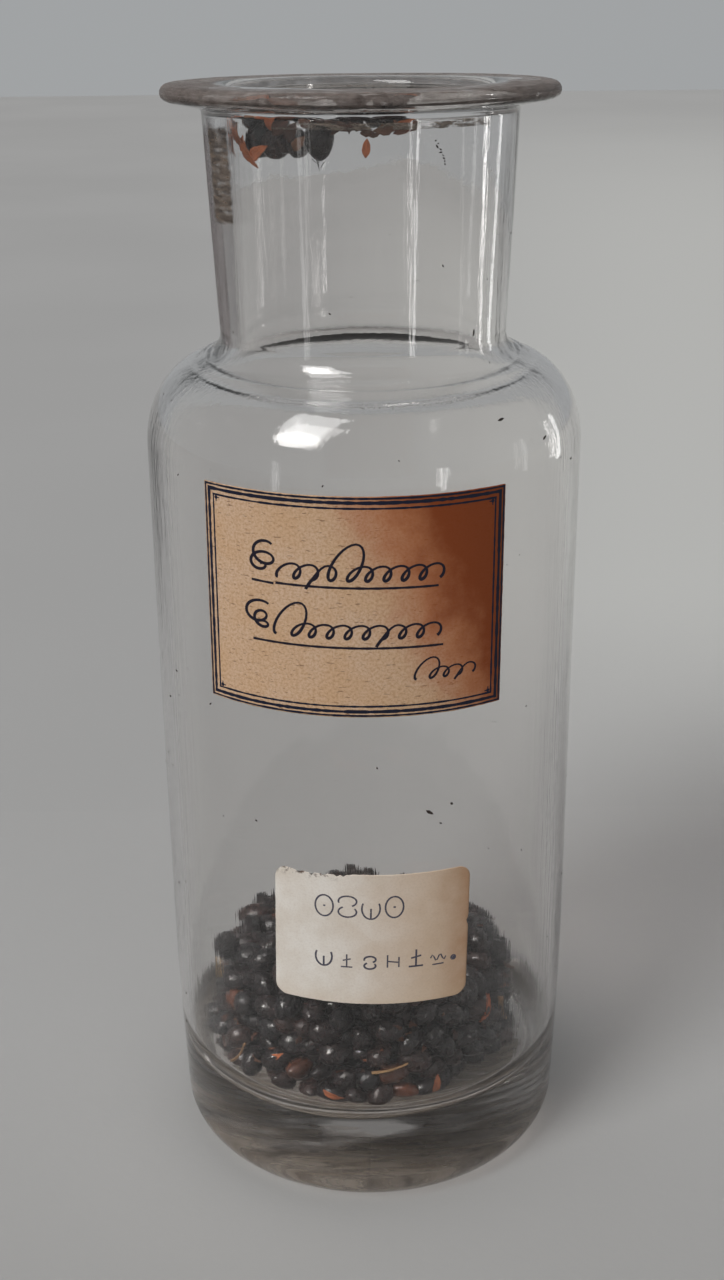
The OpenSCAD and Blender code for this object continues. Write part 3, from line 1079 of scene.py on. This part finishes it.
def top_husks():
    """Five husks that lie in a ring on the heap."""
    husks = Soup()
    for i in range(5):
        a = math.radians(72 * i + 20)
        x, y = 4.5 * math.sin(a), 4.5 * math.cos(a)
        place = Matrix.Translation((x, y, heap_top(x, y) + 1.25)) @ Matrix.Rotation(2.1 * i, 4, "Z")
        husks.add(leaf(3.4, 1.3, 0.4, 0.4, ragged=0.08, seed=i + 40), place)
    husks.piece("husks_on_heap", HUSK, "husk", "husks_on_top")


def upright_grain():
    grains = Soup()
    low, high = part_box("upright_seed")
    grains.add(GRAINS[6], Matrix.Translation((low + high) / 2 / MM))
    grains.piece("upright_grain", SEED, "seed_hull", "upright_seed")


side_husks()
side_straws()
heap_chaff()
top_husks()
upright_grain()


# Seeds stuck to the bore under the lip, as in the CAD: azimuths, height and lean from upright.
UPPER_ROW = ([-65.5, -49.5, -33.5, -3.5, 12.5], 122.9, 90)
LOWER_ROW = ([-55, -42.7, -30.5], 119.6, 0)
CLING_R, STUCK_SIZE = 11.9, 0.80


# Husks stuck there: azimuth, height, lean, length and width.
STUCK_HUSKS = (
    (-74, 121.9, 80, 2.8, 1.5), (-68, 119.4, 62, 3.4, 1.6), (-52, 118.6, -52, 3.8, 1.0),
    (-38, 121.8, 75, 2.2, 1.2), (17.5, 121.6, 30, 2.4, 0.9), (-64, 121.2, -58, 3.6, 1.4),
    (-46, 118.5, 35, 2.6, 1.4), (-69, 121.0, 10, 2.4, 1.8), (-43, 122.6, -20, 2.2, 1.2),
    (-58, 119.9, -50, 3.6, 0.8), (-62, 122.6, 20, 2.6, 1.6), (-50, 122.9, 5, 2.2, 1.3))
# Chaff stuck there: azimuth, height, length and width.
STUCK_CHAFF = (
    (2.5, 120.6, 1.3, 0.8), (5.5, 120.4, 1.0, 0.5), (-9.5, 120.9, 1.6, 0.5),
    (-25.5, 119.6, 1.8, 1.2), (-28.5, 120.6, 2.0, 1.4), (-4.5, 121.2, 1.4, 0.4),
    (14.0, 121.2, 1.8, 0.4), (-22.5, 121.8, 1.8, 1.3), (-12.0, 121.6, 1.6, 1.2),
    (-8.0, 121.3, 2.2, 1.0), (-1.5, 121.2, 2.0, 0.9), (9.5, 120.9, 2.2, 1.1),
    (17.0, 120.9, 2.0, 1.0), (-34.0, 121.0, 2.2, 1.6), (21.5, 121.2, 1.4, 0.8))
# Grains that the CAD rows leave out: azimuth, height, lean and size.
MORE_UPPER = (
    (-57.5, 121.9, 40, 0.9), (-41.5, 121.8, 115, 0.9), (-24.0, 122.3, 70, 0.9),
    (-17.0, 121.9, 95, 0.85), (-10.5, 122.0, 85, 0.85), (-4.5, 121.7, 95, 0.7),
    (7.5, 122.0, 60, 0.85), (13.0, 121.6, 92, 0.85), (19.5, 121.9, 110, 0.8))
MORE_LOWER = ((-48.8, 120.4, 20, 0.8), (-36.6, 119.9, -30, 0.85))
HANGING_AZIMUTH = -18


def lean_on_bore(r, azimuth, z, lean):
    """A frame for a grain beside the bore: its Z leans from upright along the wall."""
    a = math.radians(azimuth)
    return (Matrix.Translation(at_azimuth(r, a, z)) @ Matrix.Rotation(a, 4, "Z")
            @ Matrix.Rotation(math.radians(lean), 4, "Y"))


def stuck_grains(rng):
    for name, node, (azimuths, height, lean), more in (
            ("clinging_grains_upper", "clinging_seeds_upper", UPPER_ROW, MORE_UPPER),
            ("clinging_grains_lower", "clinging_seeds_lower", LOWER_ROW, MORE_LOWER)):
        row = Soup()
        spots = [(a, height, lean, 1.0) for a in azimuths] + list(more)
        for i, (azimuth, z, tilt, size) in enumerate(spots):
            place = lean_on_bore(CLING_R, azimuth, z, tilt + rng.gauss(0, 6))
            turn = Matrix.Rotation(rng.uniform(0, RANDOM_TURN), 4, "Z")
            row.add(GRAINS[(3 * i + 1) % len(GRAINS)], place @ turn @ Matrix.Scale(size * STUCK_SIZE, 4))
        row.piece(name, SEED, "seed_hull", node)


def hanging_grain(rng):
    """A longer black grain with a few thorns, below the rows."""
    grains = Soup()
    grains.add(grain(3.8, 2.6, 77, 18, 15), lean_on_bore(CLING_R, HANGING_AZIMUTH, 119.85, 184))
    for i in range(7):
        around = rng.uniform(-60, 60)
        place = lean_on_bore(CLING_R + 0.6, HANGING_AZIMUTH + around / 10, 119.0 - 0.14 * i,
                             90 + around)
        grains.add(stick(0.7, 0.09, 0.05, 5, 3), place @ Matrix.Translation((0.8, 0, 0)))
    grains.piece("hanging_grain", SEED, "seed_hull", "hanging_seed")


def stuck_flakes():
    husks, chaff, bit = Soup(), Soup(), Soup()
    for i, (azimuth, z, lean, length, width) in enumerate(STUCK_HUSKS):
        husks.add(leaf(length, width, -0.3, 0.25, 0.09, 14, 6, 0.10, i + 3),
                  on_wall(BORE_R - 0.28, azimuth, z, lean))
    husks.piece("clinging_husk_flakes", HUSK, "husk", "clinging_husks")
    for i, (azimuth, z, length, width) in enumerate(STUCK_CHAFF):
        chaff.add(leaf(length, width, -0.2, 0.3, 0.08, 8, 4, 0.2, i + 60),
                  on_wall(BORE_R - 0.35, azimuth, z, 17.0 * i))
    chaff.piece("clinging_chaff", CHAFF, "husk")
    bit.add(leaf(1.8, 0.9, -0.15, 0.2, 0.09, 10, 5, 0.08, 90), on_wall(BORE_R - 0.3, 2, 119.2, 85))
    bit.piece("hanging_husk_bit", HUSK, "husk", "hanging_husk")


STUCK_RNG = random.Random(11)
stuck_grains(STUCK_RNG)
hanging_grain(STUCK_RNG)
stuck_flakes()


# ---------------------------------------------------------------- dirt on the glass, and films of painted shade and light

FILM_GAP, FILM_THICK = 0.015, 0.03
FOOT_FILM_INSIDE = 0.55
SHOULDER_TOP = 97.5


def wall_patch(name, surface, start, end, rows, material, nodes=()):
    """A thin closed sheet on the glass between two azimuths in degrees.

    surface(azimuth, share) gives a point (r, z) and the way out of the glass there.
    """
    columns = max(6, int((end - start) / 2))
    whole = end - start >= 360
    verts, local = [], []
    for lift in (FILM_GAP, FILM_GAP + FILM_THICK):
        for j in range(rows + 1):
            for i in range(columns + 1):
                a = math.radians(start + (end - start) * i / columns)
                (r, z), (out_r, out_z) = surface(a, j / rows)
                verts.append(at_azimuth(r + out_r * lift, a, z + out_z * lift))
                local.append((0.5 if whole else i / columns, j / rows, 0.0))
    piece(name, verts, sheet_faces(columns, rows), material, nodes,
          attributes={"local": local})


def neck_radius(z):
    """The neck's outer radius between its two fillets."""
    return NECK_R + (NECK_TOP_R - NECK_R) * (z - NECK_FILLET_Z) / (LIP_FILLET_Z - NECK_FILLET_Z)


def bore_surface(low, high):
    def surface(a, share):
        z = low + (high - low) * share
        return (BORE_R - waves(INNER_WAVES, a, z), z), (-1.0, 0.0)
    return surface


def neck_surface(low, high, off=0.0):
    def surface(a, share):
        z = low + (high - low) * share
        return (neck_radius(z) + waves(OUTER_WAVES, a, z) + off, z), (1.0, 0.0)
    return surface


def lip_surface(a, share):
    """From the underside of the lip, round its rim and over its top to the mouth."""
    edge, flat = 0.3, LIP_R - LIP_T / 2 - BORE_R - MOUTH_ROUND
    turn = -75 + 165 * min(1.0, share / edge)
    inward = flat * max(0.0, (share - edge) / (1 - edge))
    out = (cosd(turn), sind(turn))
    half = LIP_T / 2 + waves(OUTER_WAVES, a, JAR_H)
    return (LIP_R - LIP_T / 2 - inward + half * out[0], JAR_H - LIP_T / 2 + half * out[1]), out


def foot_surface(a, share):
    """Just inside the glass of the underside, from the heel to near the middle."""
    r = 22.0 - 20.0 * share
    out = max(0.0, r - (FOOT_R - HEEL_R))
    heel = HEEL_R - math.sqrt(HEEL_R ** 2 - out ** 2)
    return (r, heel + KICK_H * max(0.0, 1 - (r / REST_IN) ** 2) + FOOT_FILM_INSIDE), (0.0, -1.0)


# Films: start and end azimuth, and rows across the surface.
# Partly wear, partly painted light: a pale film inside the whole underside brightens the base.
wall_patch("worn_underside_and_painted_light", foot_surface, 0, 360, 24, WORN_FOOT_AND_LIGHT)
wall_patch("dried_paste_ring", bore_surface(120.8, 121.6), -60, 204, 2, RESIDUE, ["seal_residue"])
wall_patch("neck_grime_strip", neck_surface(110.5, 121.6, 0.05), -70, -52, 22, STRIP_GRIME)
# Painted shade: a mauve film that darkens the neck along its left edge.
wall_patch("neck_edge_painted_shade", neck_surface(98.4, 121.6), -81, -62, 30, NECK_EDGE_SHADE)
wall_patch("lip_grime_film", lip_surface, 0, 360, 24, LIP_GRIME)


def body_point(azimuth, z, lift=0.02):
    """A point just off the outside of the glass, for the body or the shoulder or the neck."""
    if z <= SHOULDER_Z:
        r = outer_radius(math.radians(azimuth), z)
    elif z <= SHOULDER_TOP:
        r = BODY_R - SHOULDER_IN + SHOULDER_IN * math.sqrt(
            max(0.0, 1 - ((z - SHOULDER_Z) / SHOULDER_RISE) ** 2))
    else:
        r = neck_radius(z)
    r += lift + (waves(OUTER_WAVES, math.radians(azimuth), z) if z > SHOULDER_Z else 0.0)
    return Vector((r * sind(azimuth), -r * cosd(azimuth), z))


def specks():
    """Specks seen in the photo, others strewn at random, and a hair-like mark on the neck."""
    rng = random.Random(3)
    soup = Soup()
    spots = [(-30, 50.0, 0.30), (16, 52.0, 0.55), (22, 52.6, 0.40), (19, 50.5, 0.25),
             (38, 93.2, 0.5), (52, 90.5, 0.5), (66, 87.0, 0.45), (-60, 64.0, 0.35),
             (-66, 60.0, 0.35), (47, 100.6, 0.4), (-44, 62.3, 0.3), (-12, 103.5, 0.25)]
    spots += [(rng.uniform(-180, 180), rng.uniform(12, 118), rng.uniform(0.10, 0.24))
              for _ in range(60)]
    spots += [(26.0 + 0.5 * i + rng.uniform(-0.5, 0.5), 119.85 - 0.28 * i, rng.uniform(0.14, 0.26))
              for i in range(9)]
    for azimuth, z, size in spots:
        speck = leaf(size * rng.uniform(0.9, 1.8), size * 0.7, 0, 0.1, 0.04, 5, 3, 0.3,
                     rng.randrange(999))
        at = body_point(azimuth, z)
        soup.add(speck, on_wall(math.hypot(at.x, at.y), azimuth, z, rng.uniform(0, 180)))
    soup.piece("dirt_specks", SPECKS, "residue")


specks()


# ---------------------------------------------------------------- floor, light, camera

# Reach of the paper from the jar, in metres: to each side, to the front and to the back.
FLOOR_SIDE, FLOOR_FRONT, FLOOR_BACK, FLOOR_STEPS = 6.0, -6.0, 2.35, 24


def paper_floor():
    """Pale paper with a tooth, painted shade close by and a painted pool of light behind, on the right.
    """
    m = Nodes("pale_paper")
    p = m.node("ShaderNodeTexCoord").outputs["Object"]
    tooth = m.noise(p, 900.0, 3.0, 0.6)
    cloud = m.noise(p, 4.0, 3.0, 0.5)
    side, back, _ = m.split(p)
    base = m.tint((0.478, 0.475, 0.470, 1), cloud, 0.3, 0.7, (0.506, 0.503, 0.498, 1))
    # The painted shade of the near strip, then the painted pool of light behind on the right, then the
    # paper's faint edge.
    near = m.times(m.ramp(back, 0.02, -0.13), m.ramp(back, -0.60, -0.20))
    base = m.mix(near, base, (0.40, 0.394, 0.382, 1))
    # Painted pool of light on the paper behind the jar, to its right.
    slope = m.math("DIVIDE", side, m.math("MAXIMUM", m.plus(back, 0.18), 0.05))
    painted_light_patch = m.times(m.ramp(slope, -0.14, 0.20), m.ramp(back, 0.06, 0.20))
    painted_light_patch = m.times(painted_light_patch, m.ramp(back, 2.2, 0.7, 0.15, 1.0))
    base = m.mix(painted_light_patch, base, (0.67, 0.67, 0.65, 1))
    base = m.tint(base, back, 0.0778, 0.0786, (0.35, 0.35, 0.35, 1), 0.05)
    shader = m.principled(Base_Color=base, Roughness=0.9, Specular_IOR_Level=0.2,
                          Normal=m.bump(tooth, 0.12, 0.0002))
    paper = m.finish(shader.outputs[0])
    verts = [((-FLOOR_SIDE + 2 * FLOOR_SIDE * i / FLOOR_STEPS) / MM,
              (FLOOR_FRONT + (FLOOR_BACK - FLOOR_FRONT) * j / FLOOR_STEPS) / MM, 0)
             for j in range(FLOOR_STEPS + 1) for i in range(FLOOR_STEPS + 1)]
    row = FLOOR_STEPS + 1
    faces = [(j * row + i, j * row + i + 1, (j + 1) * row + i + 1, (j + 1) * row + i)
             for j in range(FLOOR_STEPS) for i in range(FLOOR_STEPS)]
    make_object("paper_floor", verts, faces, paper, smooth=False)


def direction(azimuth, elevation):
    return Vector((sind(azimuth) * cosd(elevation), -cosd(azimuth) * cosd(elevation),
                   sind(elevation)))


def add_light(name, kind, out, place, **settings):
    """A light that shines from the direction out, at a place in metres."""
    data = bpy.data.lights.new(name, kind)
    for key, value in settings.items():
        setattr(data, key, value)
    obj = bpy.data.objects.new(name, data)
    obj.location = place
    obj.rotation_mode = "QUATERNION"
    obj.rotation_quaternion = out.to_track_quat("Z", "Y")
    bpy.context.scene.collection.objects.link(obj)
    return obj


# Windows, seen as reflections only: azimuth and elevation from the point they aim at, in
# degrees, their distance, width and height in metres, radiance, and that point's height in mm.
WINDOWS = {
    "key_window": (-40, 52, 1.1, 0.42, 0.70, 7.0, 60),
    "low_left_strip": (-44, 2, 0.36, 0.018, 0.16, 2.2, 70),
    "mid_strip": (40, 0, 0.36, 0.011, 0.13, 8.0, 60),
    "low_right_strip": (117, 2, 0.42, 0.024, 0.18, 4.6, 75),
    "side_right_strip": (88, 2, 0.45, 0.020, 0.18, 2.0, 75),
}
WALL_TONE, CEILING_TONE = (0.356, 0.367, 0.374, 1), (0.31, 0.312, 0.318, 1)


def studio():
    """A soft room, darker overhead in front, a broad soft sun and the windows."""
    room = Nodes("room", world=True)
    _, behind, up = room.split(room.node("ShaderNodeTexCoord").outputs["Generated"])
    tone = room.tint(WALL_TONE, up, 0.40, 0.75, CEILING_TONE)
    tone = room.tint(tone, behind, 0.2, 0.7, WALL_TONE, 0.85)
    back = room.node("ShaderNodeBackground")
    room.link(tone, back.inputs["Color"])
    bpy.context.scene.world = room.finish(back.outputs[0])
    sun = add_light("soft_daylight", "SUN", direction(-44, 44), (0, 0, 0), energy=1.60,
                    angle=math.radians(22), color=(1.0, 0.985, 0.965))
    sun.visible_glossy = False
    for name, (azimuth, elevation, distance, width, height, radiance, aim_z) in WINDOWS.items():
        out = direction(azimuth, elevation)
        window = add_light(name, "AREA", out, Vector((0, 0, aim_z * MM)) + out * distance,
                           shape="RECTANGLE", size=width, size_y=height,
                           energy=radiance * math.pi * width * height, color=(1.0, 0.995, 0.985))
        window.visible_diffuse = False


# The camera's place in metres, its angles in degrees, and its lens and sensor in mm.
CAMERA_PLACE = (0.0, -0.1779, 0.1328)
PITCH, YAW, ROLL = 21.52, 0.14, -0.59
LENS, SENSOR = 45.93, 36.0


def add_camera():
    data = bpy.data.cameras.new("camera")
    data.sensor_width, data.lens = SENSOR, LENS
    data.clip_start, data.clip_end = 0.01, 40.0
    obj = bpy.data.objects.new("camera", data)
    turn = (Matrix.Rotation(math.radians(YAW), 4, "Z")
            @ Matrix.Rotation(math.radians(90 - PITCH), 4, "X")
            @ Matrix.Rotation(math.radians(ROLL), 4, "Z"))
    obj.matrix_world = Matrix.Translation(CAMERA_PLACE) @ turn
    bpy.context.scene.collection.objects.link(obj)
    bpy.context.scene.camera = obj


paper_floor()
studio()
add_camera()
bpy.context.scene.view_settings.view_transform = "Standard"

bpy.context.view_layer.update()
